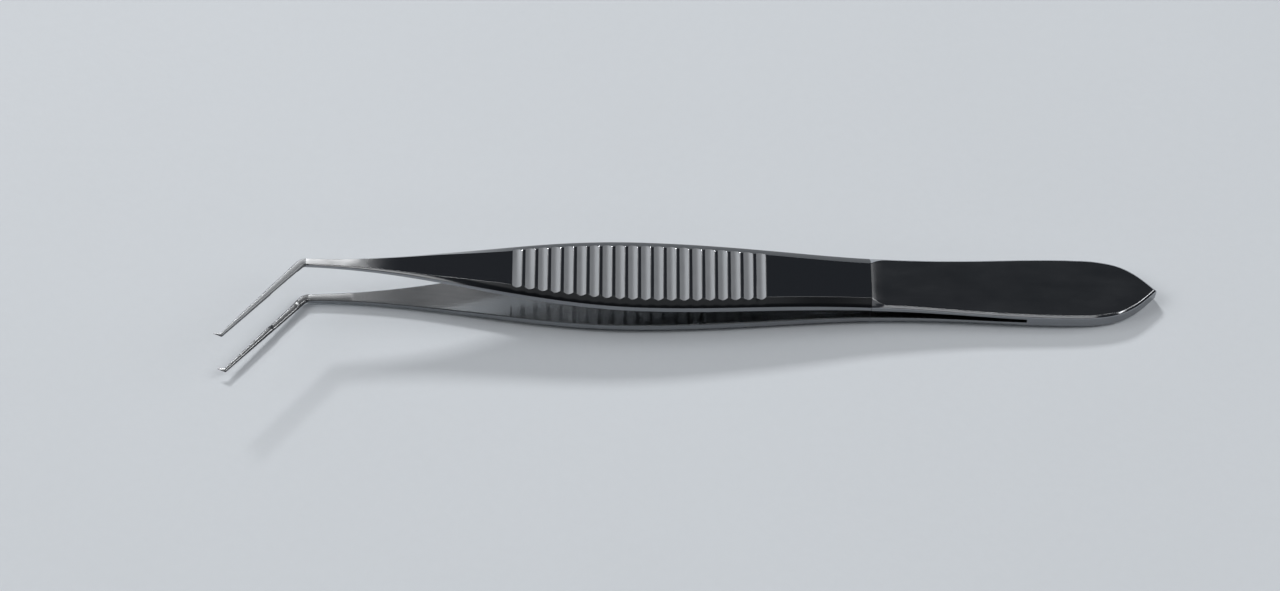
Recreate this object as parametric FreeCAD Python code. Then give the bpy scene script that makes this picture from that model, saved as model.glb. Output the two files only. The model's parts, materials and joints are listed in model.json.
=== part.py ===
# Capsulorhexis forceps: two sprung steel arms, welded together at the tail and bent at the tips.
import FreeCAD, Part

import math
import os

V = FreeCAD.Vector

# Lengths along the forceps, each measured from the one before it, starting at the tail's end
TAIL_TAPER = 10.0          # pointed end of the tail, up to its full width
WELD_LENGTH = 4.5          # full width to the end of the weld
ROOT_FLAT = 2.6            # the tail's flat faces run on past the weld by this much
ROOT_LENGTH = 17.2         # end of the weld to the step
SHANK_LENGTH = 11.5        # step to the first groove
NECK_LENGTH = 22.3         # last groove to the bend
SHAFT_LENGTH = 12.0        # bend to the heel of the tooth
TOOTH_LENGTH = 0.86        # heel to the point of the tooth

# Widths across the arms
TAIL_WIDTH = 7.58
WAIST_WIDTH = 6.30
GRIP_WIDTH = 8.38
BEND_WIDTH = 0.90
HEEL_WIDTH = 0.38

# Where the narrowest and the widest places lie
WAIST_TO_STEP = 1.7        # waist to the step
WIDEST_FROM_GRIP = 13.7    # first groove to the widest place of the grip
NECK_FROM_GRIP = 9.6       # last groove to the place where the neck stops spreading

# The tail's pointed end: shares of its length and of its half width
TAIL_END_CURVE = [(0, 0), (0.12, 0.31), (0.23, 0.55), (0.40, 0.80), (0.65, 0.955)]

# Heights above the mid-plane: the tail's face
TAIL_HEIGHT = 1.04
TAIL_END_HEIGHT = 0.99
STEP_HEIGHT = 1.66         # where the tail's face ends, lower than the arm in front of it

# Heights of an arm's outer face
ARM_HEIGHT = 2.00          # at the step
GRIP_START_HEIGHT = 2.62
GRIP_MIDDLE_HEIGHT = 2.98
GRIP_END_HEIGHT = 3.50
NECK_HEIGHT = 3.76
BEND_HEIGHT = 4.10
HEEL_HEIGHT = 4.02

# Heights of an arm's inner face
WELD_INNER = 0.30
STEP_INNER = 0.72
GRIP_START_INNER = 1.14
GRIP_MIDDLE_INNER = 1.54
GRIP_END_INNER = 2.18
NECK_INNER = 2.88
BEND_INNER = 3.50
HEEL_INNER = 3.64

# Finish of the edges
FLANK_WIDTH = 0.95         # chamfers along the outer face, from the step to the middle of the grip
FLANK_DROP = 0.62
GRIP_END_FLANK = 0.80      # the same where the grip ends
GRIP_END_DROP = 0.56
NECK_FLANK = 0.28          # the same at the neck, wide and deep alike
EDGE = 0.10                # broken edges everywhere else
TAIL_EDGE = 0.24           # chamfer round the tail's two faces

# Grooves across the grip
GROOVES = 20
GROOVE_PITCH = 1.41
GROOVE_WIDTH = 1.12
GROOVE_DEPTH = 0.15

# Tips
BEND_ANGLE = 48.3
BEND_RADIUS = 1.0          # at the middle of the arm
TOOTH_TURN = 60.0          # the tooth leans back from the shaft by this angle
TOOTH_TIP = 0.07           # the point's own width
RELIEF_START = 0.5         # bend to the shallow relief inside the shaft
RELIEF_LENGTH = 4.4
RELIEF_DEPTH = 0.13
RELIEF_RAMP = 0.35         # sloping ends of the relief

# Clearance where an arm leaves the tail
ARM_CLEARANCE = 0.04

# How finely the curved outlines are followed
BLADE_SECTIONS = 22
OUTLINE_POINTS = 8

# Places along the forceps, as distances from the tail's end
taper_flat = TAIL_TAPER / 2
weld_end = TAIL_TAPER + WELD_LENGTH
flat_end = weld_end + ROOT_FLAT
step_at = weld_end + ROOT_LENGTH
grip_start = step_at + SHANK_LENGTH
grip_end = grip_start + GROOVES * GROOVE_PITCH
bend_at = grip_end + NECK_LENGTH
waist_at = step_at - WAIST_TO_STEP
widest_at = grip_start + WIDEST_FROM_GRIP
neck_at = grip_end + NECK_FROM_GRIP


def ease(u):
    """Goes from 0 to 1 in a raised cosine."""
    return (1 - math.cos(math.pi * u)) / 2


def half_width(t):
    """Half of the plan width at distance t from the tail's end, from the tail's full width on."""
    places = [(TAIL_TAPER, TAIL_WIDTH), (waist_at, WAIST_WIDTH), (widest_at, GRIP_WIDTH), (bend_at, BEND_WIDTH)]
    t = min(max(t, TAIL_TAPER), bend_at)
    for (t0, w0), (t1, w1) in zip(places, places[1:]):
        if t <= t1:
            return (w0 + (w1 - w0) * ease((t - t0) / (t1 - t0))) / 2


def through(places, t):
    """A smooth curve through (distance, height) places, read at distance t."""
    rises = [(b[1] - a[1]) / (b[0] - a[0]) for a, b in zip(places, places[1:])]
    slopes = [rises[0]]
    for before, after in zip(rises, rises[1:]):
        level = before * after <= 0
        slopes.append(0 if level else 2 * before * after / (before + after))
    slopes.append(rises[-1])
    t = min(max(t, places[0][0]), places[-1][0])
    for n in range(len(places) - 1):
        (t0, z0), (t1, z1) = places[n], places[n + 1]
        if t <= t1:
            span = t1 - t0
            u = (t - t0) / span
            h0 = (1 + 2 * u) * (1 - u) ** 2
            h1 = u * (1 - u) ** 2
            h2 = u * u * (3 - 2 * u)
            h3 = u * u * (u - 1)
            return h0 * z0 + h1 * span * slopes[n] + h2 * z1 + h3 * span * slopes[n + 1]


def tail_height(t):
    """Height of the tail's face above the mid-plane, from the weld to the step."""
    return through([(weld_end, TAIL_HEIGHT), (flat_end, TAIL_HEIGHT), (step_at, STEP_HEIGHT)], t)


def arm_places(step, grip_first, grip_middle, grip_last, neck, bend_start):
    """Places along an arm with a size for each."""
    distances = [step_at, grip_start, widest_at, grip_end, neck_at, bend_at]
    return list(zip(distances, [step, grip_first, grip_middle, grip_last, neck, bend_start]))


outer_places = arm_places(
    ARM_HEIGHT, GRIP_START_HEIGHT, GRIP_MIDDLE_HEIGHT, GRIP_END_HEIGHT, NECK_HEIGHT, BEND_HEIGHT
)
inner_places = [(weld_end, WELD_INNER)] + arm_places(
    STEP_INNER, GRIP_START_INNER, GRIP_MIDDLE_INNER, GRIP_END_INNER, NECK_INNER, BEND_INNER
)
flank_places = arm_places(FLANK_WIDTH, FLANK_WIDTH, FLANK_WIDTH, GRIP_END_FLANK, NECK_FLANK, EDGE)
drop_places = arm_places(FLANK_DROP, FLANK_DROP, FLANK_DROP, GRIP_END_DROP, NECK_FLANK, EDGE)


def outer_height(t):
    """Height of an arm's outer face above the mid-plane."""
    return through(outer_places, t)


def inner_height(t):
    """Height of the inner face above the mid-plane, in the slot too."""
    return through(inner_places, t)


def at(t, y, z):
    """A point at distance t from the tail's end; the tips lie towards -X."""
    return V(-t, y, z)


def section(half, low, high, flank, drop):
    """Corners (y, z) of an arm's section: a bar with chamfered outer edges and broken inner ones."""
    edge = min(EDGE, half / 3, (high - low) / 4)
    return [
        (half - edge, low),
        (half, low + edge),
        (half, high - drop),
        (half - flank, high),
        (flank - half, high),
        (-half, high - drop),
        (-half, low + edge),
        (edge - half, low),
    ]


def arm_section(t):
    """The section of an arm at distance t."""
    flank, drop = through(flank_places, t), through(drop_places, t)
    return section(half_width(t), inner_height(t), outer_height(t), flank, drop)


def closed(points):
    """A closed wire through corner points."""
    return Part.makePolygon(points + [points[0]])


def blade():
    """The long part of an arm, from the step to the bend."""
    start = step_at + ARM_CLEARANCE
    wires = []
    for n in range(BLADE_SECTIONS + 1):
        t = start + (bend_at - start) * n / BLADE_SECTIONS
        wires.append(closed([at(t, y, z) for y, z in arm_section(t)]))
    return Part.makeLoft(wires, True, False)


def tip_frame(s):
    """Centre and direction of the tip at distance s past the bend's start, in plan."""
    turn = math.radians(BEND_ANGLE)
    arc = BEND_RADIUS * turn
    if s <= arc:
        a = s / BEND_RADIUS
        return V(-bend_at - BEND_RADIUS * math.sin(a), BEND_RADIUS * (math.cos(a) - 1), 0), a
    x = -bend_at - BEND_RADIUS * math.sin(turn) - (s - arc) * math.cos(turn)
    y = BEND_RADIUS * (math.cos(turn) - 1) - (s - arc) * math.sin(turn)
    return V(x, y, 0), turn


def tip_corners(centre, angle, half, low, high):
    """A section of the tip, square to its direction."""
    edge = min(EDGE, half / 3, (high - low) / 4)
    across = V(-math.sin(angle), math.cos(angle), 0)
    return [centre + across * y + V(0, 0, z) for y, z in section(half, low, high, edge, edge)]


def bend():
    """The short bent length between the blade and the shaft."""
    centre, angle = tip_frame(0)
    face = Part.Face(closed(tip_corners(centre, angle, BEND_WIDTH / 2, BEND_INNER, BEND_HEIGHT)))
    axis = V(-bend_at, -BEND_RADIUS, 0)
    return face.revolve(axis, V(0, 0, 1), BEND_ANGLE)


def shaft():
    """The straight tapering length from the bend to the heel."""
    arc = BEND_RADIUS * math.radians(BEND_ANGLE)
    near, angle = tip_frame(arc)
    far, angle = tip_frame(arc + SHAFT_LENGTH)
    wires = [
        closed(tip_corners(near, angle, BEND_WIDTH / 2, BEND_INNER, BEND_HEIGHT)),
        closed(tip_corners(far, angle, HEEL_WIDTH / 2, HEEL_INNER, HEEL_HEIGHT)),
    ]
    return Part.makeLoft(wires, True, True)


def tooth():
    """The small pointed tooth, turned back from the heel towards the tips' own direction."""
    arc = BEND_RADIUS * math.radians(BEND_ANGLE)
    heel, angle = tip_frame(arc + SHAFT_LENGTH)
    lean = angle - math.radians(TOOTH_TURN)
    half = HEEL_WIDTH / 2
    round_heel = Part.makeCylinder(half, HEEL_HEIGHT - HEEL_INNER, heel + V(0, 0, HEEL_INNER))
    point = heel + V(-math.cos(lean), -math.sin(lean), 0) * TOOTH_LENGTH
    middle = (HEEL_INNER + HEEL_HEIGHT) / 2
    tip = TOOTH_TIP / 2
    wires = [
        closed(tip_corners(heel, lean, half, HEEL_INNER, HEEL_HEIGHT)),
        closed(tip_corners(point, lean, tip, middle - tip, middle + tip)),
    ]
    return round_heel.fuse(Part.makeLoft(wires, True, True))


def relief():
    """What is milled out of the shaft's inner face, with sloping ends."""
    arc = BEND_RADIUS * math.radians(BEND_ANGLE)
    start, angle = tip_frame(arc + RELIEF_START)
    forward = V(-math.cos(angle), -math.sin(angle), 0)
    across = V(-math.sin(angle), math.cos(angle), 0) * BEND_WIDTH
    depth = V(0, 0, RELIEF_DEPTH)
    below = V(0, 0, -RELIEF_DEPTH)
    base = start - across + V(0, 0, BEND_INNER)
    outline = [
        base,
        base + forward * RELIEF_RAMP + depth,
        base + forward * (RELIEF_LENGTH - RELIEF_RAMP) + depth,
        base + forward * RELIEF_LENGTH,
        base + forward * RELIEF_LENGTH + below,
        base + below,
    ]
    return Part.Face(closed(outline)).extrude(across * 2)


def grooves():
    """Round-bottomed grooves across the outer face of the grip."""
    radius = (GROOVE_WIDTH ** 2 / 4 + GROOVE_DEPTH ** 2) / (2 * GROOVE_DEPTH)
    cutters = []
    for n in range(GROOVES):
        t = grip_start + (n + 0.5) * GROOVE_PITCH
        z = outer_height(t) - GROOVE_DEPTH + radius
        cutters.append(Part.makeCylinder(radius, 2 * GRIP_WIDTH, at(t, -GRIP_WIDTH, z), V(0, 1, 0)))
    return cutters


def arm():
    """One whole arm in front of the step, above the mid-plane."""
    body = blade().fuse([bend(), shaft(), tooth()])
    body = body.cut(grooves() + [relief()]).removeSplitter()
    return body.Solids[0]


def tail_outline():
    """Plan outline of the tail: a pointed oval that runs on to the step."""
    points = [at(u * TAIL_TAPER, w * TAIL_WIDTH / 2, 0) for u, w in TAIL_END_CURVE]
    for n in range(OUTLINE_POINTS + 1):
        t = TAIL_TAPER + (step_at - TAIL_TAPER) * n / OUTLINE_POINTS
        points.append(at(t, half_width(t), 0))
    curve = Part.BSplineCurve()
    curve.interpolate(points)
    left = curve.toShape()
    right = left.mirror(V(0, 0, 0), V(0, 1, 0))
    end = Part.makeLine(points[-1], V(points[-1].x, -points[-1].y, 0))
    return Part.Wire(Part.__sortEdges__([left, end, right]))


def end_height(t):
    """Height of the tail's rounded end, an arc that runs into the flat face."""
    return TAIL_HEIGHT - (TAIL_HEIGHT - TAIL_END_HEIGHT) * (1 - t / taper_flat) ** 2


def curve_through(height, first, last):
    """An edge along the side outline, from one distance to another."""
    places = [first + (last - first) * n / OUTLINE_POINTS for n in range(OUTLINE_POINTS + 1)]
    curve = Part.BSplineCurve()
    curve.interpolate([at(t, 0, height(t)) for t in places])
    return curve.toShape()


def tail_side():
    """Side outline of the tail: thin at the end, flat over the weld, then opening towards the step."""
    edges = [
        curve_through(end_height, 0, taper_flat),
        Part.makeLine(at(taper_flat, 0, TAIL_HEIGHT), at(flat_end, 0, TAIL_HEIGHT)),
        curve_through(tail_height, flat_end, step_at),
        Part.makeLine(at(step_at, 0, STEP_HEIGHT), at(step_at, 0, STEP_INNER)),
        curve_through(inner_height, weld_end, step_at),
        Part.makeLine(at(weld_end, 0, WELD_INNER), at(weld_end, 0, 0)),
    ]
    edges += [edge.mirror(V(0, 0, 0), V(0, 0, 1)) for edge in edges]
    edges.append(Part.makeLine(at(0, 0, TAIL_END_HEIGHT), at(0, 0, -TAIL_END_HEIGHT)))
    return Part.Wire(Part.__sortEdges__(edges))


def tail():
    """The two arms' welded ends, as far as the step."""
    high = 2 * STEP_HEIGHT
    plan = Part.Face(tail_outline()).extrude(V(0, 0, 2 * high))
    plan.translate(V(0, 0, -high))
    side = Part.Face(tail_side()).extrude(V(0, 2 * TAIL_WIDTH, 0))
    side.translate(V(0, -TAIL_WIDTH, 0))
    body = plan.common(side).removeSplitter().Solids[0]
    rims = []
    for edge in body.Edges:
        middle = edge.valueAt((edge.FirstParameter + edge.LastParameter) / 2)
        t = -middle.x
        outer = end_height(t) if t < taper_flat else tail_height(t)
        along_rim = edge.BoundBox.XLength > TAIL_EDGE and abs(middle.y) > EDGE
        if along_rim and abs(abs(middle.z) - outer) < EDGE:
            rims.append(edge)
    return body.makeChamfer(TAIL_EDGE, rims).Solids[0]


def rest_tilt():
    """Angle at which the forceps lies: the flat line that its outer face touches at the tail and along the arm."""
    steps = 60
    tail_places = []
    arm_touches = []
    for n in range(steps + 1):
        t = taper_flat * n / steps
        tail_places.append((t, end_height(t)))
        t = step_at + (bend_at - step_at) * n / steps
        arm_touches.append((t, outer_height(t)))
    lines = []
    for a, low in tail_places:
        slope = max((high - low) / (b - a) for b, high in arm_touches)
        lines.append((low - slope * a, slope))
    return math.degrees(math.atan(max(lines)[1]))


def rest(shapes):
    """Lays the forceps down on its lower arm, with the middle of its box above the origin."""
    tilt = rest_tilt()
    laid = {}
    for name, shape in shapes.items():
        laid[name] = shape.copy()
        laid[name].rotate(V(0, 0, 0), V(0, 1, 0), tilt)
    box = Part.makeCompound(list(laid.values())).optimalBoundingBox(False, False)
    shift = V(-(box.XMin + box.XMax) / 2, -(box.YMin + box.YMax) / 2, -box.ZMin)
    for shape in laid.values():
        shape.translate(shift)
    return laid, FreeCAD.Placement(shift, FreeCAD.Rotation(V(0, 1, 0), tilt))


upper = arm()
lower = upper.mirror(V(0, 0, 0), V(0, 0, 1))
nodes, laid_down = rest({"upper_arm": upper, "lower_arm": lower, "tail": tail()})

os.makedirs("parts", exist_ok=True)
for name, shape in nodes.items():
    shape.exportStep(f"parts/{name}.step")
    box = shape.BoundBox
    print(name, shape.ShapeType, shape.isValid(), "volume", round(shape.Volume, 2), box)

pivot_height = (STEP_HEIGHT + STEP_INNER) / 2
for name, side in (("upper", 1), ("lower", -1)):
    pivot = laid_down.multVec(at(step_at + ARM_CLEARANCE / 2, 0, side * pivot_height))
    print(name, "pivot", [round(v, 4) for v in pivot])
reach = -tip_frame(SHAFT_LENGTH)[0].x - step_at
closing = math.degrees(math.asin(HEEL_INNER / reach))
print("tilt", round(laid_down.Rotation.Angle * 180 / math.pi, 3), "closing", round(closing, 3), laid_down.Base)
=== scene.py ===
"""Capsulorhexis forceps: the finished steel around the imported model, on a pale sheet in soft light."""

import json
import math

import bmesh
import bpy
from bpy.props import FloatProperty, FloatVectorProperty, IntProperty, PointerProperty
from mathutils import Matrix, Vector


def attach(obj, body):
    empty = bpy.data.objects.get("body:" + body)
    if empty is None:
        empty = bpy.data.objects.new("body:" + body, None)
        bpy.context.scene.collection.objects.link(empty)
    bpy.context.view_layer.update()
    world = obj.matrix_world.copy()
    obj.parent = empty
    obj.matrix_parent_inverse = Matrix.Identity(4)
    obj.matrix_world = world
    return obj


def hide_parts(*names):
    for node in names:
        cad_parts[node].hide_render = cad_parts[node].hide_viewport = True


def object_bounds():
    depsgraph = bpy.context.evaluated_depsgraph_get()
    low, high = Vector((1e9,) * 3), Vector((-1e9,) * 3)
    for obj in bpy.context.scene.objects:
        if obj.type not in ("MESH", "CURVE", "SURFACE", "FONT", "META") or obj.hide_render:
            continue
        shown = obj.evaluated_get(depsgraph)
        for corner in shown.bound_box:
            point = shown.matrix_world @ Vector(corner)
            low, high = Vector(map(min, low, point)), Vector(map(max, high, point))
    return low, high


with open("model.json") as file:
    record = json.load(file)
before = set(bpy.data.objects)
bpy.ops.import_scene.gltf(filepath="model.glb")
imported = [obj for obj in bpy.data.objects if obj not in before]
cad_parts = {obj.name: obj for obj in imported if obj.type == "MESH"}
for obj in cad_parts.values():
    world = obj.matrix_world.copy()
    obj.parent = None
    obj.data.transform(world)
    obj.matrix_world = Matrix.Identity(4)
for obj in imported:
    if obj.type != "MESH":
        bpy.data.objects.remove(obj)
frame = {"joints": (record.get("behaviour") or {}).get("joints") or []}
cad_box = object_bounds()

bl_info = {
    "name": "Capsulorhexis forceps",
    "version": (1, 0, 0),
    "blender": (4, 5, 0),
    "location": "3D View > Sidebar > Forceps",
    "description": "Builds the steel of a capsulorhexis forceps and the stage that it lies on",
    "category": "Add Mesh",
}

MM = 0.001


# Sizes and colours

def length(name, millimetres, description):
    """A size that is given in millimetres and kept in metres."""
    return FloatProperty(
        name=name, description=description, default=millimetres * MM, min=0, precision=5, unit="LENGTH"
    )


def angle(name, degrees, description):
    return FloatProperty(name=name, description=description, default=math.radians(degrees), subtype="ANGLE")


def share(name, value, description):
    return FloatProperty(name=name, description=description, default=value, min=0, max=1, subtype="FACTOR")


def colour(name, value, description):
    return FloatVectorProperty(
        name=name, description=description, default=value, min=0, max=1, size=3, subtype="COLOR"
    )


def glow(name, value, description):
    """Brightness of a lamp's face, where the lit sheet is about 0.6."""
    return FloatProperty(name=name, description=description, default=value, min=0)


class ForcepsLengths(bpy.types.PropertyGroup):
    """Lengths along the forceps, each measured from the one before it, and widths across it."""

    tail_taper: length("Tail taper", 10.0, "Pointed end of the tail, up to its full width")
    weld: length("Weld", 4.5, "Full width of the tail to the end of the weld")
    root_flat: length("Root flat", 2.6, "How far the tail's flat faces run on past the weld")
    root: length("Root", 17.2, "End of the weld to the step")
    shank: length("Shank", 11.5, "Step to the first groove")
    neck: length("Neck", 22.3, "Last groove to the bend")
    shaft: length("Shaft", 12.0, "Bend to the heel of the tooth")
    tooth: length("Tooth", 0.86, "Heel to the point of the tooth")
    waist_to_step: length("Waist to step", 1.7, "Narrowest place of the tail to the step")
    widest_from_grip: length("Grip to widest", 13.7, "First groove to the widest place of the grip")
    neck_from_grip: length("Grip to neck", 9.6, "Last groove to where the neck stops spreading")
    clearance: length("Arm clearance", 0.04, "Gap where an arm leaves the tail")
    tail_width: length("Tail width", 7.58, "Widest place of the tail")
    waist_width: length("Waist width", 6.30, "Narrowest place of the tail")
    grip_width: length("Grip width", 8.38, "Widest place of the grip")
    bend_width: length("Bend width", 0.90, "Width of an arm at the bend")
    heel_width: length("Heel width", 0.38, "Width of the shaft at the heel of the tooth")


class ForcepsHeights(bpy.types.PropertyGroup):
    """Heights of the outer and the inner faces above the mid-plane."""

    tail: length("Tail", 1.04, "Tail's face over the weld")
    tail_end: length("Tail end", 0.99, "Tail's face at the very end")
    step: length("Step", 1.66, "Tail's face at the step, before it runs out")
    arm: length("Arm", 2.00, "Arm's outer face at the step")
    grip_start: length("Grip start", 2.62, "Outer face at the first groove")
    grip_middle: length("Grip middle", 2.98, "Outer face at the widest place")
    grip_end: length("Grip end", 3.50, "Outer face at the last groove")
    neck: length("Neck", 3.76, "Outer face where the neck stops spreading")
    bend: length("Bend", 4.10, "Outer face at the bend")
    heel: length("Heel", 4.02, "Outer face at the heel of the tooth")
    weld_inner: length("Weld, inner", 0.30, "Inner face at the end of the weld")
    step_inner: length("Step, inner", 0.72, "Inner face at the step")
    grip_start_inner: length("Grip start, inner", 1.14, "Inner face at the first groove")
    grip_middle_inner: length("Grip middle, inner", 1.54, "Inner face at the widest place")
    grip_end_inner: length("Grip end, inner", 2.18, "Inner face at the last groove")
    neck_inner: length("Neck, inner", 2.88, "Inner face where the neck stops spreading")
    bend_inner: length("Bend, inner", 3.50, "Inner face at the bend")
    heel_inner: length("Heel, inner", 3.64, "Inner face at the heel of the tooth")


class ForcepsDetails(bpy.types.PropertyGroup):
    """Edges, grooves and tips."""

    runout: length("Run-out", 1.73, "Length over which the tail's face rises to the arm at the step")
    flank_width: length("Flank width", 0.95, "Width of the chamfers from the step to the middle of the grip")
    flank_drop: length("Flank drop", 0.62, "Depth of the same chamfers")
    grip_end_flank: length("Grip end flank", 0.80, "Width of the chamfers where the grip ends")
    grip_end_drop: length("Grip end drop", 0.56, "Depth of the same chamfers")
    neck_flank: length("Neck flank", 0.28, "Width and depth of the chamfers at the neck")
    edge: length("Broken edge", 0.10, "Chamfer of all other edges of an arm")
    tail_edge: length("Tail edge", 0.24, "Chamfer round the tail's two faces")
    edge_round: length("Edge rounding", 0.035, "Radius left on an edge by polishing")
    grooves: IntProperty(name="Grooves", description="Number of grooves on a grip", default=20, min=1)
    groove_pitch: length("Groove pitch", 1.41, "Middle of one groove to the next")
    groove_width: length("Groove width", 1.12, "Width of a groove")
    groove_depth: length("Groove depth", 0.15, "Depth of a groove")
    groove_round: length("Groove rounding", 0.07, "How softly a groove meets the land beside it")
    bend_angle: angle("Bend angle", 48.3, "Turn of the tips in plan")
    bend_radius: length("Bend radius", 1.0, "Radius of the bend at the middle of the arm")
    tooth_turn: angle("Tooth turn", 60.0, "How far the tooth leans back from the shaft")
    tip_edge: length("Tip edge", 0.16, "Chamfer of the edges of the bend, the shaft and the tooth")
    tooth_tip: length("Tooth tip", 0.07, "Width of the tooth's point")
    relief_start: length("Relief start", 0.5, "Bend to the shallow relief inside the shaft")
    relief_length: length("Relief length", 4.4, "Length of the relief")
    relief_depth: length("Relief depth", 0.13, "Depth of the relief")
    relief_ramp: length("Relief ramp", 0.35, "Length of the relief's sloping ends")


class ForcepsFinish(bpy.types.PropertyGroup):
    """Colours and polish of the steel; some colours hold painted shade, sheen and reflection."""

    mirror: colour("Mirror steel", (0.50, 0.51, 0.53), "Polished outer faces")
    mirror_rough: share("Mirror roughness", 0.10, "Roughness of the polished outer faces")
    # Darker than the polished faces: painted shade on the chamfers, and on the tips' sides, which take it too.
    flank: colour("Flank steel", (0.12, 0.124, 0.13), "Chamfers along the outer faces")
    # Lighter than polished steel: a painted sheen on the outer faces near the bend, and a painted highlight on
    # the chamfers along the neck.
    bright: colour("Bright steel", (0.70, 0.71, 0.72), "Outer faces where the neck nears the bend")
    bright_rough: share("Bright roughness", 0.46, "Roughness of the outer faces near the bend")
    # The next two set where the outer faces' painted sheen fades in; the two after them, the chamfers' painted
    # highlight and the inner faces' painted reflection.
    fade_start: length("Fade start", 31.0, "Middle of the forceps to where the neck starts to turn bright")
    fade_end: length("Fade end", 39.5, "Middle of the forceps to where the neck is all bright")
    flank_fade_start: length("Flank fade start", 17.0, "The same for the chamfers and the inner faces")
    flank_fade_end: length("Flank fade end", 35.0, "The same for the chamfers and the inner faces")
    satin: colour("Satin steel", (0.50, 0.51, 0.52), "Satin face of the tail")
    satin_rough: share("Satin roughness", 0.16, "Roughness of the satin face")
    groove: colour("Groove steel", (0.27, 0.28, 0.295), "Bottoms of the grooves")
    groove_rough: share("Groove roughness", 0.58, "Roughness of the grooves")
    side: colour("Side steel", (0.27, 0.28, 0.295), "Ground sides of the arms and the tail")
    side_rough: share("Side roughness", 0.24, "Roughness of the sides")
    inner: colour("Inner steel", (0.40, 0.41, 0.42), "Inner faces of the arms, from the slot to the grip")
    # Lighter than the inner colour above: a painted reflection on the inner faces near the bend.
    inner_neck: colour("Inner steel, neck", (0.56, 0.57, 0.58), "Inner faces near the bend")
    inner_rough: share("Inner roughness", 0.17, "Roughness of the inner faces from the slot to the grip")
    inner_rough_neck: share("Inner roughness, neck", 0.22, "Roughness of the inner faces near the bend")
    tip: colour("Tip steel", (0.30, 0.31, 0.32), "Bend, shaft and tooth")
    tip_rough: share("Tip roughness", 0.40, "Roughness of the bend, the shaft and the tooth")


class ForcepsStage(bpy.types.PropertyGroup):
    """Sheet, lights and camera."""

    sheet: colour("Sheet", (0.675, 0.71, 0.747), "Pale sheet that the forceps lies on")
    room: colour("Room", (0.026, 0.029, 0.034), "Dim room that the polished steel mirrors")
    elevation: angle("Camera elevation", 59.0, "Camera above the horizon")
    roll: angle("Camera roll", -0.188, "Turn of the camera about its own view")
    distance: length("Camera distance", 423.7, "Camera to the point that it looks at")
    aim: FloatVectorProperty(
        name="Camera aim", description="Point that the camera looks at",
        default=(-5.42 * MM, 1.535 * MM, 3.0 * MM), size=3, subtype="TRANSLATION", precision=5,
    )
    lens: FloatProperty(
        name="Focal length", description="Focal length on a 36 mm sensor", default=108.22, min=1, unit="CAMERA"
    )
    window: glow("Window", 71.0, "Brightness of the small window behind the forceps")
    fills: glow("Fills", 3.0, "Brightness of the wide lights to the left and right")
    zenith: glow("Zenith", 5.0, "Brightness of the small light above, a little towards the tail")
    left_wall: glow("Left wall", 0.24, "Brightness of the wall behind the forceps' tips")
    right_wall: glow("Right wall", 0.42, "Brightness of the wall behind the forceps' tail")
    corner: glow("Corner", 3.0, "Brightness of the small light low in front of the tail")
    front: glow("Front", 0.42, "Brightness of the low strip in front of the forceps")
    front_wall: glow("Front wall", 0.15, "Brightness of the wall in front of the forceps, above the strip")


# The forceps' curves, at a distance t from the tail's end

# Places round the tail's end: share of the taper's length, and share of the full width
TAIL_END_CURVE = ((0.12, 0.31), (0.23, 0.55), (0.40, 0.80), (0.65, 0.955))


def ease(u):
    """Goes from 0 to 1 in a raised cosine."""
    return (1 - math.cos(math.pi * u)) / 2


def mix(a, b, u):
    return a + (b - a) * u


def soft_min(a, b, reach):
    """The lower of two heights, rounded where they are closer than reach."""
    near = max(reach - abs(a - b), 0) / reach
    return min(a, b) - near * near * reach / 4


def through(places, t):
    """A smooth curve through (distance, height) places, read at distance t."""
    rises = [(b[1] - a[1]) / (b[0] - a[0]) for a, b in zip(places, places[1:])]
    slopes = [rises[0]]
    for before, after in zip(rises, rises[1:]):
        slopes.append(0 if before * after <= 0 else 2 * before * after / (before + after))
    slopes.append(rises[-1])
    t = min(max(t, places[0][0]), places[-1][0])
    n = next(n for n in range(len(places) - 1) if t <= places[n + 1][0])
    (t0, z0), (t1, z1) = places[n], places[n + 1]
    span = t1 - t0
    u = (t - t0) / span
    rise = u * (1 - u) ** 2 * slopes[n] + u * u * (u - 1) * slopes[n + 1]
    return mix(z0, z1, u * u * (3 - 2 * u)) + span * rise


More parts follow.
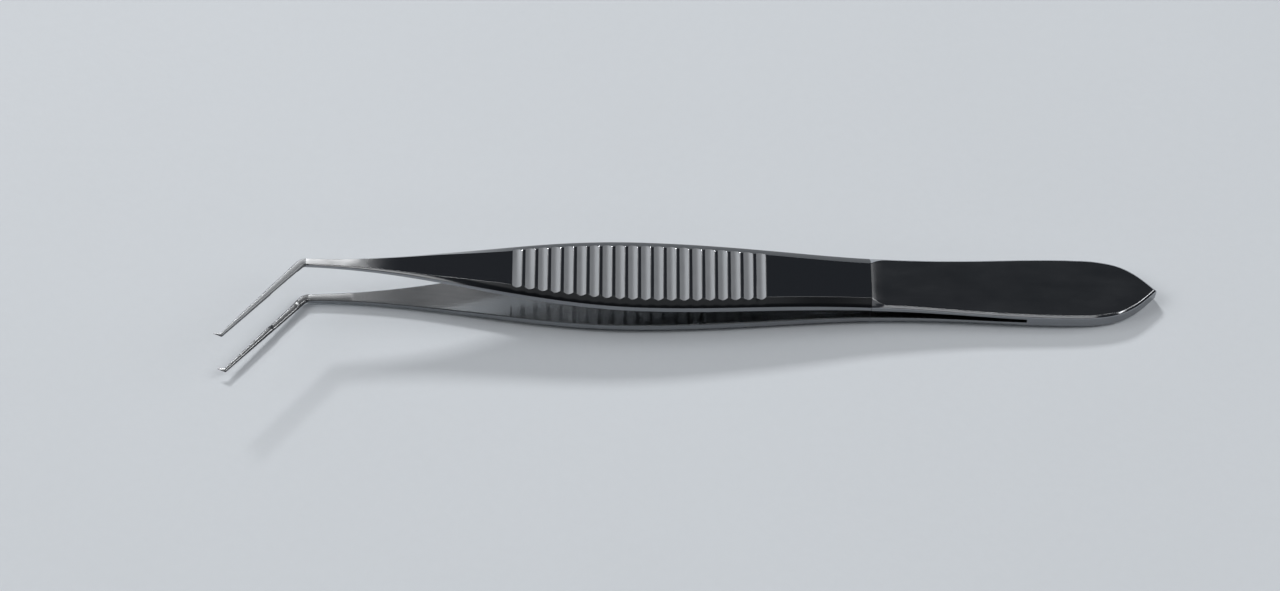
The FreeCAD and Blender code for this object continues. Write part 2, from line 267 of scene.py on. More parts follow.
class Forceps:
    """The forceps' plan, side view and sections, and the place where it lies."""

    def __init__(self, scene):
        self.lengths = s = scene.forceps_lengths
        self.heights = h = scene.forceps_heights
        self.details = d = scene.forceps_details
        self.weld_end = s.tail_taper + s.weld
        self.flat_end = self.weld_end + s.root_flat
        self.step_at = self.weld_end + s.root
        self.grip_start = self.step_at + s.shank
        self.grip_end = self.grip_start + d.grooves * d.groove_pitch
        self.bend_at = self.grip_end + s.neck
        self.waist_at = self.step_at - s.waist_to_step
        self.widest_at = self.grip_start + s.widest_from_grip
        self.neck_at = self.grip_end + s.neck_from_grip
        self.foot_at = self.step_at - d.runout
        self.groove_radius = (d.groove_width ** 2 / 4 + d.groove_depth ** 2) / (2 * d.groove_depth)

        def arm_places(*sizes):
            """Places along an arm with a size for each."""
            distances = (
                self.step_at, self.grip_start, self.widest_at, self.grip_end, self.neck_at, self.bend_at
            )
            return list(zip(distances, sizes))

        self.tail = [(self.weld_end, h.tail), (self.flat_end, h.tail), (self.step_at, h.step)]
        self.outer = arm_places(h.arm, h.grip_start, h.grip_middle, h.grip_end, h.neck, h.bend)
        self.inner = [(self.weld_end, h.weld_inner)] + arm_places(
            h.step_inner, h.grip_start_inner, h.grip_middle_inner, h.grip_end_inner, h.neck_inner, h.bend_inner
        )
        self.flank = arm_places(
            d.flank_width, d.flank_width, d.flank_width, d.grip_end_flank, d.neck_flank, d.edge
        )
        self.drop = arm_places(d.flank_drop, d.flank_drop, d.flank_drop, d.grip_end_drop, d.neck_flank, d.edge)
        self.to_row = self.lying()

    def lying(self):
        """From the level forceps to the way it lies, told by the pivots of the two arms."""
        h = self.heights
        pivots = {joint["child"]: Vector(joint["pos_m"]) for joint in frame["joints"]}
        upper, lower = pivots["upper_arm"], pivots["lower_arm"]
        rise = upper - lower
        turn = Matrix.Rotation(math.atan2(rise.x, rise.z), 4, "Y")
        level = Vector((-self.step_at - self.lengths.clearance / 2, 0, 0))
        return Matrix.Translation((upper + lower) / 2) @ turn @ Matrix.Translation(-level)

    def half_width(self, t):
        s = self.lengths
        places = (
            (s.tail_taper, s.tail_width), (self.waist_at, s.waist_width),
            (self.widest_at, s.grip_width), (self.bend_at, s.bend_width),
        )
        t = min(max(t, s.tail_taper), self.bend_at)
        for (t0, w0), (t1, w1) in zip(places, places[1:]):
            if t <= t1:
                return mix(w0, w1, ease((t - t0) / (t1 - t0))) / 2

    def tail_height(self, t):
        """Height of the tail's face, which rises to the arm's in a hollow curve in front of the foot."""
        h = self.heights
        taper_flat = self.lengths.tail_taper / 2
        if t < taper_flat:
            return h.tail - (h.tail - h.tail_end) * (1 - t / taper_flat) ** 2
        return through(self.tail, t) + (h.arm - h.step) * self.run(t) ** 2

    def run(self, t):
        """Goes from 0 at the foot of the tail's run-out to 1 at the step."""
        return max(t - self.foot_at, 0) / self.details.runout

    def tail_chamfer(self, t):
        """Width and depth of the chamfer along the tail's face; it grows to the arm's own at the step."""
        d = self.details
        u = self.run(t) ** 2
        return mix(d.tail_edge, d.flank_width, u), mix(d.tail_edge, d.flank_drop, u)

    def nearest_groove(self, t):
        """Distance from the tail's end to the middle of the groove nearest to t."""
        d = self.details
        n = min(max(math.floor((t - self.grip_start) / d.groove_pitch), 0), d.grooves - 1)
        return self.grip_start + (n + 0.5) * d.groove_pitch

    def in_groove(self, t):
        d = self.details
        return abs(t - self.nearest_groove(t)) < d.groove_width / 2 - d.groove_round

    def grooved(self, t, high):
        """Height of the outer face where the grooves are cut into it."""
        d = self.details
        middle = self.nearest_groove(t)
        away = min(abs(t - middle), self.groove_radius)
        rise = self.groove_radius - math.sqrt(self.groove_radius ** 2 - away ** 2)
        cut = through(self.outer, middle) - d.groove_depth + rise
        return soft_min(high, cut, d.groove_round)

    def arm_corners(self, t):
        """Corners (y, z) of an arm's section at distance t."""
        half, low, high = self.half_width(t), through(self.inner, t), through(self.outer, t)
        flank, drop = through(self.flank, t), through(self.drop, t)
        top = self.grooved(t, high)
        left = 1 - (high - top) / drop
        edge = min(self.details.edge, half / 3, (high - low) / 4)
        return bar(half, low, top, flank * left, drop * left, edge)


def bar(half, low, high, flank, drop, edge):
    """Corners of a bar with chamfered outer edges and broken inner ones."""
    return [
        (half - edge, low), (half, low + edge), (half, high - drop), (half - flank, high),
        (flank - half, high), (-half, high - drop), (-half, low + edge), (edge - half, low),
    ]


# Meshes

# Steps between the rows of a mesh, from place to place along the forceps
SHANK_STEPS, GROOVE_STEPS, NECK_STEPS = 26, 9, 44
BEND_STEPS, RAMP_STEPS, RELIEF_STEPS, SHAFT_STEPS, TOOTH_STEPS = 14, 4, 12, 16, 8
TAIL_END_STEPS = (22, 12, 12, 10, 12)
WELD_STEPS, FLAT_STEPS, ROOT_STEPS, RUNOUT_STEPS = 8, 6, 36, 20
CORNER_STEPS = 3

SHARP_ANGLE = math.radians(50)
MERGE = 0.0002 * MM
FLAT_WEIGHT = 80
FACES_OF_BAR = ("edge", "side", "flank", "outer", "flank", "side", "edge", "inner")
# The chamfers and the tips' sides get finishes whose colour holds painted shade.
ARM_FINISH = {
    "edge": "side_steel", "side": "side_steel", "flank": "flank_painted_shade_and_highlight",
    "outer": "mirror_steel", "groove": "groove_steel", "inner": "inner_steel",
}
TIP_FINISH = {
    "edge": "tip_side_painted_shade", "side": "tip_side_painted_shade", "flank": "tip_steel", "outer": "tip_steel",
    "inner": "inner_steel",
}
TIP_NAMES = [TIP_FINISH[face] for face in FACES_OF_BAR for _ in range(CORNER_STEPS + 1)]
ARM_FINISHES = (
    "mirror_steel", "flank_painted_shade_and_highlight", "groove_steel", "side_steel", "inner_steel", "tip_steel", "tip_side_painted_shade",
)


def rounded(corners, radius):
    """The corners of a closed section, each rounded with the same number of points."""
    points = []
    for n, corner in enumerate(corners):
        here = Vector(corner)
        back, on = Vector(corners[n - 1]) - here, Vector(corners[(n + 1) % len(corners)]) - here
        reach = min(radius, back.length * 0.4, on.length * 0.4)
        start, end = here + back.normalized() * reach, here + on.normalized() * reach
        for step in range(CORNER_STEPS + 1):
            u = step / CORNER_STEPS
            points.append(start * (1 - u) ** 2 + here * 2 * u * (1 - u) + end * u * u)
    return points


class Skin:
    """Rows of points, and the faces between them, on their way to one mesh."""

    def __init__(self, finishes):
        self.bm = bmesh.new()
        self.finishes = finishes

    def row(self, points):
        return [self.bm.verts.new(p) for p in points]

    def face(self, corners, finish):
        corners = [v for n, v in enumerate(corners) if v is not corners[n - 1]]
        if len(corners) > 2:
            self.bm.faces.new(corners).material_index = self.finishes.index(finish)

    def band(self, one, other, names):
        """Faces between two rows; names gives each column's finish."""
        for n, finish in enumerate(names):
            m = (n + 1) % len(one)
            self.face([one[n], one[m], other[m], other[n]], finish)

    def mirrored(self, axis):
        """Adds the mirror image across a plane through the level forceps' middle."""
        made = bmesh.ops.duplicate(self.bm, geom=self.bm.verts[:] + self.bm.edges[:] + self.bm.faces[:])["geom"]
        copies = [e for e in made if isinstance(e, bmesh.types.BMVert)]
        for v in copies:
            v.co[axis] = -v.co[axis]
        bmesh.ops.reverse_faces(self.bm, faces=[e for e in made if isinstance(e, bmesh.types.BMFace)])

    def piece(self, name, matrix, body, slot, node):
        """Finishes the mesh, lays it where the CAD node is, and lets it stand for that node."""
        bmesh.ops.remove_doubles(self.bm, verts=self.bm.verts[:], dist=MERGE)
        bmesh.ops.dissolve_degenerate(self.bm, edges=self.bm.edges[:], dist=MERGE)
        bmesh.ops.recalc_face_normals(self.bm, faces=self.bm.faces[:])
        mesh = bpy.data.meshes.new(name)
        self.bm.to_mesh(mesh)
        self.bm.free()
        mesh.transform(matrix)
        mesh.shade_smooth()
        mesh.set_sharp_from_angle(angle=SHARP_ANGLE)
        for finish in self.finishes:
            mesh.materials.append(bpy.data.materials[finish])
        made = bpy.data.objects.new(name, mesh)
        bpy.context.scene.collection.objects.link(made)
        weighted = made.modifiers.new("Flat faces stay flat", "WEIGHTED_NORMAL")
        weighted.weight = FLAT_WEIGHT
        weighted.keep_sharp = True
        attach(made, body)
        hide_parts(node)


def spread(first, last, count):
    """Evenly spaced places from first to last, both included."""
    return [mix(first, last, n / count) for n in range(count + 1)]


def blade_places(forceps):
    """Distances at which an arm gets a section, close together where a groove turns."""
    d = forceps.details
    half, turn = d.groove_width / 2, d.groove_round
    one = [-half - turn * 1.6, -half - turn * 0.8, -half - turn * 0.3, -half + turn * 0.2, -half + turn * 0.9]
    arc = spread(-half + turn * 2.2, half - turn * 2.2, GROOVE_STEPS)
    profile = one + arc + [-away for away in reversed(one)]  # across one groove, from its middle
    places = spread(forceps.step_at + forceps.lengths.clearance, forceps.grip_start, SHANK_STEPS)[:-1]
    for n in range(d.grooves):
        middle = forceps.grip_start + (n + 0.5) * d.groove_pitch
        places += [middle + away for away in profile]
    return places + spread(forceps.grip_end, forceps.bend_at, NECK_STEPS)


def arm_names(forceps, t):
    """Finish of each column of an arm's skin in front of distance t."""
    names = []
    for face in FACES_OF_BAR:
        if face == "outer" and forceps.in_groove(t):
            face = "groove"
        names += [ARM_FINISH[face]] * (CORNER_STEPS + 1)
    return names


def tip_rows(forceps):
    """Sections of the bend, the shaft and the tooth, as lists of points."""
    s, h, d = forceps.lengths, forceps.heights, forceps.details
    arc = d.bend_radius * d.bend_angle
    bend = (s.bend_width / 2, h.bend_inner, h.bend)
    heel = (s.heel_width / 2, h.heel_inner, h.heel)

    def centre(distance):
        a = min(distance / d.bend_radius, d.bend_angle)
        past = max(distance - arc, 0)
        x = -forceps.bend_at - d.bend_radius * math.sin(a) - past * math.cos(a)
        y = d.bend_radius * (math.cos(a) - 1) - past * math.sin(a)
        return Vector((x, y, 0)), a

    def lay(place, across, size):
        half, low, high = size
        edge = min(d.tip_edge, half / 2.4, (high - low) / 3)
        corners = rounded(bar(half, low, high, edge, edge, edge), d.edge_round)
        return [place + across * y + Vector((0, 0, z)) for y, z in corners]

    rows = []
    for distance in spread(0, arc, BEND_STEPS)[1:]:
        place, a = centre(distance)
        rows.append(lay(place, Vector((-math.sin(a), math.cos(a), 0)), bend))

    half = heel[0]
    lean = d.bend_angle - d.tooth_turn
    across = Vector((-math.sin(d.bend_angle), math.cos(d.bend_angle), 0))
    short = half * math.tan(d.tooth_turn / 2)
    relief = d.relief_start + d.relief_length
    floor_start, floor_end = d.relief_start + d.relief_ramp, relief - d.relief_ramp
    places = spread(0, d.relief_start, 3)[1:] + spread(d.relief_start, floor_start, RAMP_STEPS)[1:]
    places += spread(floor_start, floor_end, RELIEF_STEPS)[1:] + spread(floor_end, relief, RAMP_STEPS)[1:]
    places += spread(relief, s.shaft - short, SHAFT_STEPS)[1:]
    for along in places:
        size = [mix(a, b, along / s.shaft) for a, b in zip(bend, heel)]
        into = min(along - d.relief_start, relief - along) / d.relief_ramp
        size[1] += d.relief_depth * min(max(into, 0), 1)
        rows.append(lay(centre(arc + along)[0], across, size))

    place = centre(arc + s.shaft)[0]
    middle_turn = d.bend_angle - d.tooth_turn / 2
    side = Vector((-math.sin(middle_turn), math.cos(middle_turn), 0))
    inner = place + side * half / math.cos(d.tooth_turn / 2)
    for a in spread(d.bend_angle, lean, TOOTH_STEPS):
        outer = place - Vector((-math.sin(a), math.cos(a), 0)) * half
        fan = (inner - outer) / (2 * half)
        rows.append(lay((inner + outer) / 2, fan, heel))

    forward = Vector((-math.cos(lean), -math.sin(lean), 0))
    across = Vector((-math.sin(lean), math.cos(lean), 0))
    tip, middle = d.tooth_tip / 2, (heel[1] + heel[2]) / 2
    point = (tip, middle - tip, middle + tip)
    for along in spread(short, s.tooth, TOOTH_STEPS)[1:]:
        size = [mix(a, b, along / s.tooth) for a, b in zip(heel, point)]
        rows.append(lay(place + forward * along, across, size))
    return rows


def arm_skin(forceps):
    """The skin of one whole arm, above the mid-plane."""
    skin = Skin(list(ARM_FINISHES))
    places = blade_places(forceps)
    rows = []
    for t in places:
        section = rounded(forceps.arm_corners(t), forceps.details.edge_round)
        rows.append(skin.row([Vector((-t, y, z)) for y, z in section]))
    skin.face(rows[0][::-1], "side_steel")
    for n, (one, other) in enumerate(zip(rows, rows[1:])):
        skin.band(one, other, arm_names(forceps, (places[n] + places[n + 1]) / 2))
    last = rows[-1]
    for points in tip_rows(forceps):
        new = skin.row(points)
        skin.band(last, new, TIP_NAMES)
        last = new
    skin.face(last, "tip_side_painted_shade")
    return skin


def smooth_line(points, counts):
    """Points on a smooth line through the given ones, with the given number of steps on each span."""
    line = []
    ends = [2 * points[0] - points[1]] + points + [2 * points[-1] - points[-2]]
    for n, count in enumerate(counts):
        a, b, c, d = ends[n:n + 4]
        ab, bc, cd = (b - a).length, (c - b).length, (d - c).length
        start = ((b - a) / ab * bc + (c - b) / bc * ab) / (ab + bc) * bc
        end = ((c - b) / bc * cd + (d - c) / cd * bc) / (bc + cd) * bc
        for step in range(count):
            u = step / count
            u = u if n else u * u  # closer together at the tail's very end, where the line turns most
            h = u * u * (3 - 2 * u)
            line.append(b + (c - b) * h + start * u * (1 - u) ** 2 + end * u * u * (u - 1))
    return line + [points[-1]]


# Columns of the tail's faces, in millimetres: from the rim inwards, and from where the chamfer ends
EDGE_COLUMNS = (0, 0.006, 0.018, 0.035)
TURN_COLUMNS = (-0.03, -0.015, 0, 0.015, 0.03, 0.07, 0.15, 0.27, 0.46)
BETWEEN_COLUMNS = (1 / 3, 2 / 3)
CHAMFER_COLUMNS = len(EDGE_COLUMNS) + len(BETWEEN_COLUMNS) + 2
INNER_COLUMNS = 6
SLOT_COLUMNS = (0.08, 0.2, 0.45)
CHAMFER_TURN = 0.03 * MM


def rim_columns(chamfer):
    """Distances from the rim of a face: close together at its edge and where the chamfer ends."""
    edge = [away * MM for away in EDGE_COLUMNS]
    turn = [chamfer + away * MM for away in TURN_COLUMNS]
    return edge + [mix(edge[-1], turn[0], u) for u in BETWEEN_COLUMNS] + turn


def tail_ribs(forceps):
    """Places round the tail's outline with the direction inwards, from its end to the step."""
    s = forceps.lengths
    outline = [Vector((0, 0))]
    outline += [Vector((u * s.tail_taper, w * s.tail_width / 2)) for u, w in TAIL_END_CURVE]
    outline += [Vector((s.tail_taper, s.tail_width / 2))]
    line = smooth_line(outline, TAIL_END_STEPS)
    tangents = [line[1] - line[0]] + [b - a for a, b in zip(line, line[2:])] + [Vector((1, 0))]
    ribs = [(p, Vector((g.y, -g.x)).normalized()) for p, g in zip(line, tangents)]
    straight = spread(s.tail_taper, forceps.weld_end, WELD_STEPS)[1:]
    straight += spread(forceps.weld_end, forceps.flat_end, FLAT_STEPS)[1:]
    straight += spread(forceps.flat_end, forceps.foot_at, ROOT_STEPS)[1:]
    straight += spread(forceps.foot_at, forceps.step_at, RUNOUT_STEPS)[1:]
    return ribs + [(Vector((t, forceps.half_width(t))), Vector((0, -1))) for t in straight]


def tail_skin(forceps):
    """A quarter of the tail, from the mid-plane up and from the middle to one side, then mirrored twice."""
    d = forceps.details
    roll = d.edge_round
    skin = Skin(["satin_steel", "side_steel", "inner_steel", "edge_steel"])

    def on_face(place, away):
        """A point of the face at a distance from its rim, taken down by the chamfer and the rounded edge."""
        wide, deep = forceps.tail_chamfer(place.x)
        off = max(roll - away, 0)
        rolled = roll - math.sqrt(roll * roll - off * off)
        chamfer = -soft_min(0, (away - wide) * deep / wide, CHAMFER_TURN)
        return Vector((-place.x, place.y, forceps.tail_height(place.x) - rolled - chamfer))

    def level(t, y, z):
        return Vector((-t, y, z))

    def slot_row(t):
        """The slot's rounded edge and its face, up to the middle."""
        half, z = forceps.half_width(t), through(forceps.inner, t)
        angles = spread(0, math.pi / 2, CORNER_STEPS)
        turned = [(half - roll * (1 - math.cos(a)), z + roll * (1 - math.sin(a))) for a in angles]
        flat = [(half - away * MM, z) for away in SLOT_COLUMNS]
        flat += [(y, z) for y in spread(half - SLOT_COLUMNS[-1] * MM, 0, INNER_COLUMNS)[1:]]
        return [level(t, y, z) for y, z in turned + flat]

    ribs = tail_ribs(forceps)
    tops, sides, slots = [], [], []
    for place, inward in ribs:
        most = place.y / -inward.y if inward.y < -1e-6 else 0
        points = []
        for away in rim_columns(forceps.tail_chamfer(place.x)[0]):
            away = min(away, most)
            points.append(on_face(place + inward * away, away))
        last = place + inward * away
        for column in range(1, INNER_COLUMNS + 1):
            points.append(on_face(Vector((last.x, last.y * (1 - column / INNER_COLUMNS))), away))
        tops.append(skin.row(points))
        low = through(forceps.inner, place.x) + roll
        side = [level(*place, mix(low, points[0].z, 0.5)), level(*place, low)]
        if place.x <= forceps.weld_end:
            side.append(level(*place, 0))
        sides.append([tops[-1][0]] + skin.row(side))
        if place.x >= forceps.weld_end:
            slots.append([sides[-1][2]] + skin.row(slot_row(place.x)[1:]))

    columns = len(tops[0]) - 1
    face_names = ["edge_steel"] * CHAMFER_COLUMNS + ["satin_steel"] * (columns - CHAMFER_COLUMNS)
    slot_names = ["side_steel"] * CORNER_STEPS + ["inner_steel"] * (len(slots[0]) - 1 - CORNER_STEPS)
    for one, other in zip(tops, tops[1:]):
        skin.band(one, other, face_names)
    for one, other in zip(sides, sides[1:]):
        skin.band(one, other, ["side_steel"] * (min(len(one), len(other)) - 1))
    for one, other in zip(slots, slots[1:]):
        skin.band(one, other, slot_names)
    weld = next(side for side in reversed(sides) if len(side) == 4)
    middle = skin.row([level(forceps.weld_end, 0, 0)])
    skin.face([weld[3]] + slots[0] + middle, "inner_steel")
    skin.face(tops[-1] + slots[-1][::-1] + [sides[-1][1]], "side_steel")
    skin.mirrored(1)
    skin.mirrored(2)
    return skin


# Materials

# Sockets that share their name with others of their node, by their place in it
OBJECT_PLACE = 3
MIX_DARK, MIX_LIGHT, MIX_COLOUR = 6, 7, 2


class Socket:
    """An output of a node, which takes part in sums with other outputs and with numbers."""

    def __init__(self, finish, out):
        self.finish = finish
        self.out = out

    def maths(self, operation, *values):
        return self.finish.add("ShaderNodeMath", {"operation": operation}, dict(enumerate(values)))

    def __add__(self, other):
        return self.maths("ADD", self, other)

    def __sub__(self, other):
        return self.maths("SUBTRACT", self, other)

    def __rsub__(self, other):
        return self.maths("SUBTRACT", other, self)

    def __mul__(self, other):
        return self.maths("MULTIPLY", self, other)

    __radd__ = __add__
    __rmul__ = __mul__


class Finish:
    """A material's nodes, and the one way to add to them."""

    def __init__(self, name):
        old = bpy.data.materials.get(name)
        if old:
            bpy.data.materials.remove(old)
        self.material = bpy.data.materials.new(name)
        self.material.use_nodes = True
        self.tree = self.material.node_tree
        self.tree.nodes.clear()

    def add(self, kind, settings=None, inputs=None, output=0):
        """Adds a node: its settings first, then the values or links of its sockets."""
        node = self.tree.nodes.new(kind)
        for name, value in (settings or {}).items():
            setattr(node, name, value)
        for name, value in (inputs or {}).items():
            socket = node.inputs[name]
            if isinstance(value, Socket):
                self.tree.links.new(value.out, socket)
            else:
                socket.default_value = value
        return Socket(self, node.outputs[output]) if node.outputs else None

    def place(self, stretch=(1, 1, 1)):
        """Places on the piece in millimetres, stretched."""
        where = self.add("ShaderNodeTexCoord", output=OBJECT_PLACE)
        return self.add("ShaderNodeMapping", inputs={"Vector": where, "Scale": [v / MM for v in stretch]})

    def noise(self, where, scale, detail=3.0, roughness=0.55):
        settings = {"Vector": where, "Scale": scale, "Detail": detail, "Roughness": roughness}
        return self.add("ShaderNodeTexNoise", inputs=settings)

    def tint(self, factor, dark, light):
        """A colour between two, by a factor."""
        inputs = {"Factor": factor, MIX_DARK: (*dark, 1), MIX_LIGHT: (*light, 1)}
        return self.add("ShaderNodeMix", {"data_type": "RGBA"}, inputs, output=MIX_COLOUR)

    def near_bend(self, start, end):
        """Goes from 0 to 1 between two distances from the middle, towards the bend."""
        along = self.add("ShaderNodeSeparateXYZ", inputs={"Vector": self.place()})
        return self.add(
            "ShaderNodeMapRange", {"interpolation_type": "SMOOTHSTEP"},
            {"Value": along, "From Min": -start / MM, "From Max": -end / MM, "To Min": 0.0, "To Max": 1.0},
        )

    def bump(self, height, distance):
        return self.add("ShaderNodeBump", inputs={"Height": height, "Distance": distance, "Strength": 1.0})

    def steel(self, base, roughness, normal):
        sockets = {"Base Color": base, "Metallic": 1.0, "Roughness": roughness, "Normal": normal}
        shader = self.add("ShaderNodeBsdfPrincipled", inputs=sockets)
        self.add("ShaderNodeOutputMaterial", inputs={"Surface": shader})
        return self.material


def shade(tone, by):
    return tuple(min(v * by, 1) for v in tone)


def mirror_steel(finish):
    """Polished outer faces: a mirror with fine lengthwise marks, softer towards the bend, where a patchy
    painted sheen lightens the colour.
    """
    f = Finish("mirror_steel")
    marks = f.noise(f.place((0.25, 9.0, 9.0)), 1.0, 4.0)
    clouds = f.noise(f.place((0.6, 1.2, 1.2)), 1.0)
    near = f.near_bend(finish.fade_start, finish.fade_end) * (clouds + 0.5)
    # Painted sheen: the colour turns lighter in patches towards the bend.
    base = f.tint(near, finish.mirror, finish.bright)
    softer = near * (finish.bright_rough - finish.mirror_rough)
    return f.steel(base, (marks - 0.5) * 0.04 + softer + finish.mirror_rough, f.bump(marks, 0.0004 * MM))


def flank_painted_shade_and_highlight(finish):
    """Chamfers along the outer faces: painted shade makes them darker than the faces, and a painted highlight
    brighter along the neck.
    """
    f = Finish("flank_painted_shade_and_highlight")
    marks = f.noise(f.place((0.25, 9.0, 9.0)), 1.0, 4.0)
    # Painted shade on the chamfers, turning into a painted highlight along the neck.
    base = f.tint(f.near_bend(finish.flank_fade_start, finish.flank_fade_end), finish.flank, finish.bright)
    return f.steel(base, (marks - 0.5) * 0.06 + finish.mirror_rough, f.bump(marks, 0.0004 * MM))


def tip_side_painted_shade(finish):
    """Sides of the bend, the shaft and the tooth, made dark by painted shade in an uneven tone."""
    f = Finish("tip_side_painted_shade")
    marks = f.noise(f.place((4.0, 4.0, 4.0)), 1.0, 4.0)
    # Painted shade: the chamfers' dark colour, unevenly lighter and darker.
    base = f.tint(marks, shade(finish.flank, 0.8), shade(finish.flank, 1.3))
    return f.steel(base, (marks - 0.5) * 0.1 + finish.side_rough, f.bump(marks, 0.001 * MM))


def groove_steel(finish):
    """Bottoms of the grooves: blasted, with faint marks along each groove."""
    f = Finish("groove_steel")
    marks = f.noise(f.place((14.0, 0.5, 9.0)), 1.0, 4.0)
    clouds = f.noise(f.place((0.8, 0.8, 0.8)), 1.0)
    base = f.tint(clouds, shade(finish.groove, 0.9), shade(finish.groove, 1.08))
    roughness = (clouds - 0.5) * 0.1 + (marks - 0.5) * 0.08 + finish.groove_rough
    return f.steel(base, roughness, f.bump(marks, 0.0012 * MM))


def satin_steel(finish):
    """Satin face of the tail: fine crosswise grain with faint patches."""
    f = Finish("satin_steel")
    grain = f.noise(f.place((7.0, 7.0, 7.0)), 1.0, 5.0, 0.7)
    clouds = f.noise(f.place((0.25, 0.6, 0.6)), 1.0)
    base = f.tint(clouds, shade(finish.satin, 0.9), shade(finish.satin, 1.08))
    roughness = (clouds - 0.5) * 0.08 + (grain - 0.5) * 0.08 + finish.satin_rough
    return f.steel(base, roughness, f.bump(grain, 0.0025 * MM))


def side_steel(finish):
    """Ground sides: lengthwise brushing."""
    f = Finish("side_steel")
    marks = f.noise(f.place((0.3, 12.0, 12.0)), 1.0, 5.0)
    clouds = f.noise(f.place((0.3, 1.0, 1.0)), 1.0)
    base = f.tint(clouds, shade(finish.side, 0.85), shade(finish.side, 1.1))
    roughness = (clouds - 0.5) * 0.1 + (marks - 0.5) * 0.1 + finish.side_rough
    return f.steel(base, roughness, f.bump(marks, 0.002 * MM))


def edge_steel(finish):
    """Chamfer of the tail: polished brighter than its sides."""
    f = Finish("edge_steel")
    marks = f.noise(f.place((0.6, 8.0, 8.0)), 1.0, 3.0)
    base = f.tint(marks, shade(finish.mirror, 0.95), shade(finish.mirror, 1.1))
    return f.steel(base, (marks - 0.5) * 0.08 + finish.mirror_rough * 1.2, f.bump(marks, 0.001 * MM))


def inner_steel(finish):
    """Inner faces: satin, with lengthwise marks, brighter towards the bend from a painted reflection in the
    colour.
    """
    f = Finish("inner_steel")
    marks = f.noise(f.place((0.5, 9.0, 9.0)), 1.0, 5.0)
    near = f.near_bend(finish.flank_fade_start, finish.flank_fade_end)
    # Painted reflection: the colour turns lighter towards the bend.
    base = f.tint((marks - 0.5) * 0.3 + near, finish.inner, finish.inner_neck)
    more = f.near_bend(finish.fade_start, finish.fade_end) * (finish.inner_rough_neck - finish.inner_rough)
    return f.steel(base, (marks - 0.5) * 0.08 + more + finish.inner_rough, f.bump(marks, 0.001 * MM))


def tip_steel(finish):
    """Bend, shaft and tooth: hand polished, a little uneven."""
    f = Finish("tip_steel")
    marks = f.noise(f.place((4.0, 4.0, 4.0)), 1.0, 4.0)
    base = f.tint(marks, shade(finish.tip, 0.85), shade(finish.tip, 1.15))
    return f.steel(base, (marks - 0.5) * 0.12 + finish.tip_rough, f.bump(marks, 0.002 * MM))


FINISHES = (
    mirror_steel, flank_painted_shade_and_highlight, groove_steel, satin_steel, side_steel, edge_steel, inner_steel, tip_steel,
    tip_side_painted_shade,
)


def pale_sheet(stage):
    """Smooth plastic sheet under the forceps, with the faintest mottling."""
    f = Finish("pale_sheet")
    cloud = f.noise(f.place((0.02, 0.02, 0.02)), 1.0, 4.0)
    grain = f.noise(f.place((0.9, 0.9, 0.9)), 1.0, 4.0)
    base = f.tint(cloud * 0.6 + grain * 0.4, shade(stage.sheet, 0.96), shade(stage.sheet, 1.04))
    shader = f.add("ShaderNodeBsdfPrincipled", inputs={
        "Base Color": base, "Roughness": 0.65, "Normal": f.bump(grain, 0.02 * MM),
    })
    f.add("ShaderNodeOutputMaterial", inputs={"Surface": shader})
    return f.material


# Stage

# Name, brightness, width and height in metres, azimuth and elevation in degrees, and distance in metres.
# The azimuth is from straight behind the forceps towards its tail.
LAMPS = (
    ("window", "window", (0.16, 0.16), -23, 40, 1.2),
    ("left_fill", "fills", (1.0, 1.0), -88, 42, 1.6),
    ("right_fill", "fills", (1.0, 1.0), 88, 42, 1.6),
    ("zenith", "zenith", (0.2, 0.5), 90, 81, 1.5),
    ("left_wall", "left_wall", (0.8, 0.75), -38, 43, 1.3),
    ("right_wall", "right_wall", (0.6, 0.55), 69, 27, 1.3),
    ("corner", "corner", (0.2, 0.2), 133, 27, 1.3),
    ("front", "front", (0.95, 0.22), 180, 31, 1.3),
    ("front_wall", "front_wall", (0.7, 0.3), 180, 57, 1.3),
)
# In metres, and the sensor's width in millimetres
FLOOR_REACH = 6.0
CLIP_START, CLIP_END = 0.01, 20
SENSOR_WIDTH = 36


def soft_box(name, brightness, size, azimuth, elevation, distance):
    """A rectangular light that faces the forceps."""
    lamp = bpy.data.lights.new(name, "AREA")
    lamp.shape = "RECTANGLE"
    lamp.size, lamp.size_y = size
    lamp.energy = brightness * math.pi * size[0] * size[1]
    a, e = math.radians(azimuth), math.radians(elevation)
    towards = Vector((math.sin(a) * math.cos(e), math.cos(a) * math.cos(e), math.sin(e)))
    made = bpy.data.objects.new(name, lamp)
    made.location = towards * distance
    made.rotation_euler = (-towards).to_track_quat("-Z", "Y").to_euler()
    bpy.context.scene.collection.objects.link(made)


def add_floor(stage):
    """One wide flat sheet at the height that the forceps lies on."""
    mesh = bpy.data.meshes.new("floor")
    r = FLOOR_REACH
    corners = [(-r, -r, 0), (r, -r, 0), (r, r, 0), (-r, r, 0)]
    mesh.from_pydata(corners, [], [(0, 1, 2, 3)])
    mesh.materials.append(pale_sheet(stage))
    floor = bpy.data.objects.new("floor", mesh)
    floor.location.z = cad_box[0].z
    bpy.context.scene.collection.objects.link(floor)


def add_camera(stage):
    """The camera, from its elevation, its roll and the point that it looks at."""
    e, r = stage.elevation, stage.roll
    back = Vector((0, -math.cos(e), math.sin(e)))
    right = Vector((1, 0, 0))
    up = back.cross(right)
    rolled_right = right * math.cos(r) + up * math.sin(r)
    rolled_up = up * math.cos(r) - right * math.sin(r)
    turn = Matrix((rolled_right, rolled_up, back)).transposed()
    data = bpy.data.cameras.new("camera")
    data.sensor_width = SENSOR_WIDTH
    data.lens = stage.lens
    data.clip_start, data.clip_end = CLIP_START, CLIP_END
    camera = bpy.data.objects.new("camera", data)
    camera.matrix_world = Matrix.Translation(Vector(stage.aim) + back * stage.distance) @ turn.to_4x4()
    bpy.context.scene.collection.objects.link(camera)
    bpy.context.scene.camera = camera


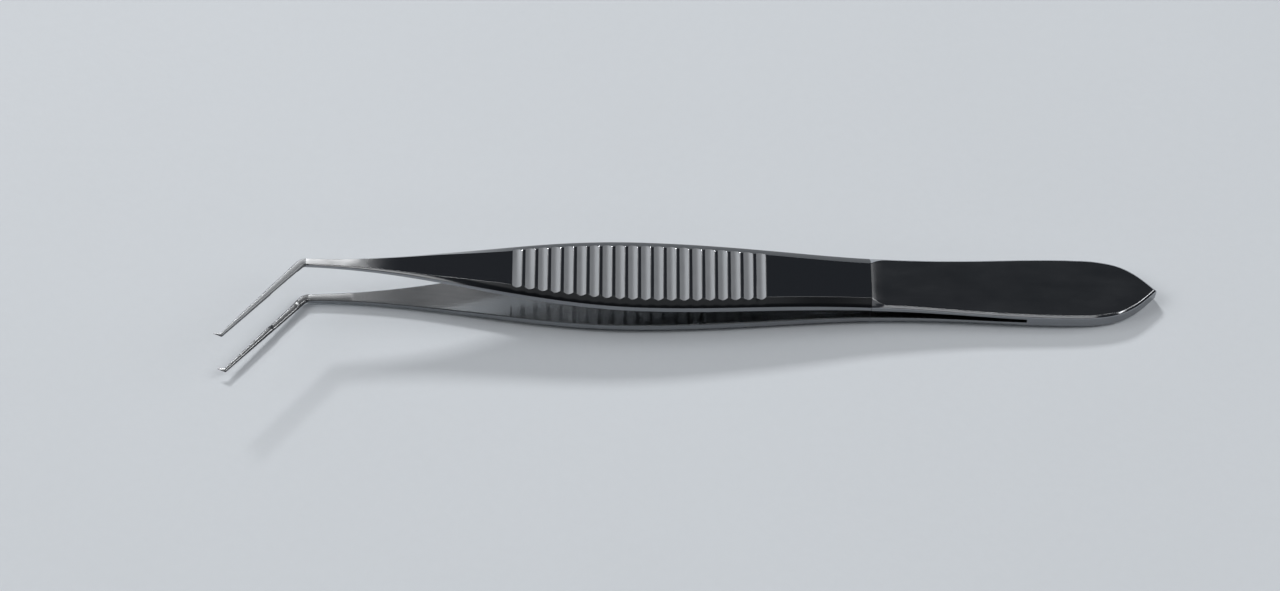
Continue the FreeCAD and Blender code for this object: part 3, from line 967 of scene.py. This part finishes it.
# Operators

class FORCEPS_OT_finishes(bpy.types.Operator):
    """Make the steel's finishes"""

    bl_idname = "forceps.finishes"
    bl_label = "Finishes"

    def execute(self, context):
        for make in FINISHES:
            make(context.scene.forceps_finish)
        return {"FINISHED"}


class FORCEPS_OT_tail(bpy.types.Operator):
    """Make the welded tail with its satin faces"""

    bl_idname = "forceps.tail"
    bl_label = "Tail"

    def execute(self, context):
        forceps = Forceps(context.scene)
        skin = tail_skin(forceps)
        skin.piece("tail_steel", forceps.to_row, "tail", "satin_steel", "tail")
        return {"FINISHED"}


class FORCEPS_OT_arms(bpy.types.Operator):
    """Make both sprung arms, from the step to the teeth"""

    bl_idname = "forceps.arms"
    bl_label = "Arms"

    def execute(self, context):
        forceps = Forceps(context.scene)
        below = Matrix.Scale(-1, 4, (0, 0, 1))
        for side, flip in (("upper", Matrix.Identity(4)), ("lower", below)):
            skin = arm_skin(forceps)
            skin.bm.transform(flip)
            skin.piece(f"{side}_arm_steel", forceps.to_row, f"{side}_arm", "polished_steel", f"{side}_arm")
        return {"FINISHED"}


class FORCEPS_OT_stage(bpy.types.Operator):
    """Make the sheet, the lights and the camera"""

    bl_idname = "forceps.stage"
    bl_label = "Stage"

    def execute(self, context):
        stage = context.scene.forceps_stage
        add_floor(stage)
        add_camera(stage)
        world = bpy.data.worlds.new("room")
        world.use_nodes = True
        world.node_tree.nodes["Background"].inputs["Color"].default_value = (*stage.room, 1)
        world.node_tree.nodes["Background"].inputs["Strength"].default_value = 1.0
        context.scene.world = world
        context.scene.view_settings.view_transform = "Standard"
        for name, brightness, size, azimuth, elevation, away in LAMPS:
            soft_box(name, getattr(stage, brightness), size, azimuth, elevation, away)
        return {"FINISHED"}


class FORCEPS_PT_panel(bpy.types.Panel):
    """Lists the forceps' pieces and sizes"""

    bl_idname = "FORCEPS_PT_panel"
    bl_label = "Capsulorhexis forceps"
    bl_space_type = "VIEW_3D"
    bl_region_type = "UI"
    bl_category = "Forceps"

    def draw(self, context):
        for name in STEPS:
            self.layout.operator(f"forceps.{name}")
        for name, group in GROUPS.items():
            box = self.layout.box()
            box.label(text=name.replace("_", " "))
            settings = getattr(context.scene, name)
            for field in group.__annotations__:
                box.prop(settings, field)


STEPS = ("finishes", "tail", "arms", "stage")
GROUPS = {
    "forceps_lengths": ForcepsLengths,
    "forceps_heights": ForcepsHeights,
    "forceps_details": ForcepsDetails,
    "forceps_finish": ForcepsFinish,
    "forceps_stage": ForcepsStage,
}
CLASSES = (
    *GROUPS.values(), FORCEPS_OT_finishes, FORCEPS_OT_tail, FORCEPS_OT_arms, FORCEPS_OT_stage, FORCEPS_PT_panel,
)


def register():
    for one in CLASSES:
        bpy.utils.register_class(one)
    for name, group in GROUPS.items():
        setattr(bpy.types.Scene, name, PointerProperty(type=group))


def unregister():
    for name in GROUPS:
        delattr(bpy.types.Scene, name)
    for one in reversed(CLASSES):
        bpy.utils.unregister_class(one)


def main():
    """Builds everything in order."""
    register()
    for name in STEPS:
        getattr(bpy.ops.forceps, name)()


if __name__ == "__main__":
    main()
